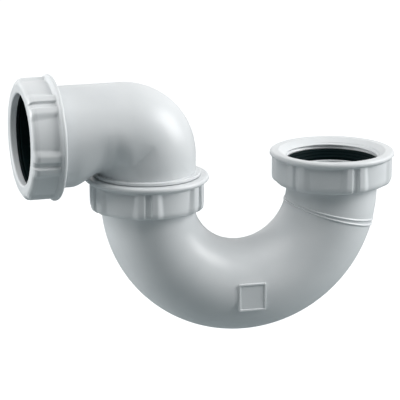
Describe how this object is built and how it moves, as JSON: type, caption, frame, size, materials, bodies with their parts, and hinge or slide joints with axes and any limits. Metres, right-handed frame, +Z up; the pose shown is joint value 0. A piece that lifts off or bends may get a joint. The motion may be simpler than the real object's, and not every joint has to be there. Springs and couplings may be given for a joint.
{
  "type": "bath trap",
  "caption": "White plastic bath trap: a deep U-bend with a ribbed-washer inlet nut, a coupling nut and a 90 degree elbow that ends in a compression nut with a rubber seal.",
  "frame": {"origin": "on the inlet's axis, level with the top rim of the inlet nut, where the bath waste screws in", "axes": "+Z up along the inlet, out of the open nut; the U-bend lies in the XZ plane with the elbow's limb and the outlet toward -X; -Y is the side that the picture shows"},
  "size_m": [0.1929, 0.0641, 0.1361],
  "materials": {
    "white_plastic": "moulded white polypropylene, soft gloss",
    "black_rubber": "moulded black rubber",
    "dark_plastic": "plain hard plastic"
  },
  "bodies": {
    "trap": {"u_bend": "white_plastic", "inlet_washer": "black_rubber", "coupling_washer": "black_rubber"},
    "inlet_nut_body": {"inlet_nut": "white_plastic"},
    "coupling_nut_body": {"coupling_nut": "white_plastic"},
    "elbow_body": {"elbow": "white_plastic", "outlet_seal": "black_rubber"},
    "slip_ring_body": {"outlet_slip_ring": "dark_plastic"},
    "outlet_nut_body": {"outlet_nut": "white_plastic"}
  },
  "joints": [
    {"name": "inlet_nut_spin", "type": "hinge", "parent": "trap", "child": "inlet_nut_body", "pos_m": [0, 0, 0], "axis": [0, 0, 1], "continuous": true},
    {"name": "coupling_nut_spin", "type": "hinge", "parent": "trap", "child": "coupling_nut_body", "pos_m": [-0.0964, 0, 0], "axis": [0, 0, 1], "continuous": true},
    {"name": "elbow_swivel", "type": "hinge", "parent": "trap", "child": "elbow_body", "pos_m": [-0.0964, 0, 0], "axis": [0, 0, 1], "range_deg": [-135, 135]},
    {"name": "outlet_screw_travel", "type": "slide", "parent": "elbow_body", "child": "slip_ring_body", "axis": [-0.9994, -0.0349, 0], "range_m": [0, 0.00693]},
    {"name": "outlet_nut_turn", "type": "hinge", "parent": "slip_ring_body", "child": "outlet_nut_body", "pos_m": [-0.0964, 0, 0.01545], "axis": [-0.9994, -0.0349, 0], "range_deg": [0, 1080]}
  ],
  "couplings": [
    {"joint": "outlet_screw_travel", "follows": "outlet_nut_turn", "m_per_rad": 0.00036748}
  ]
}
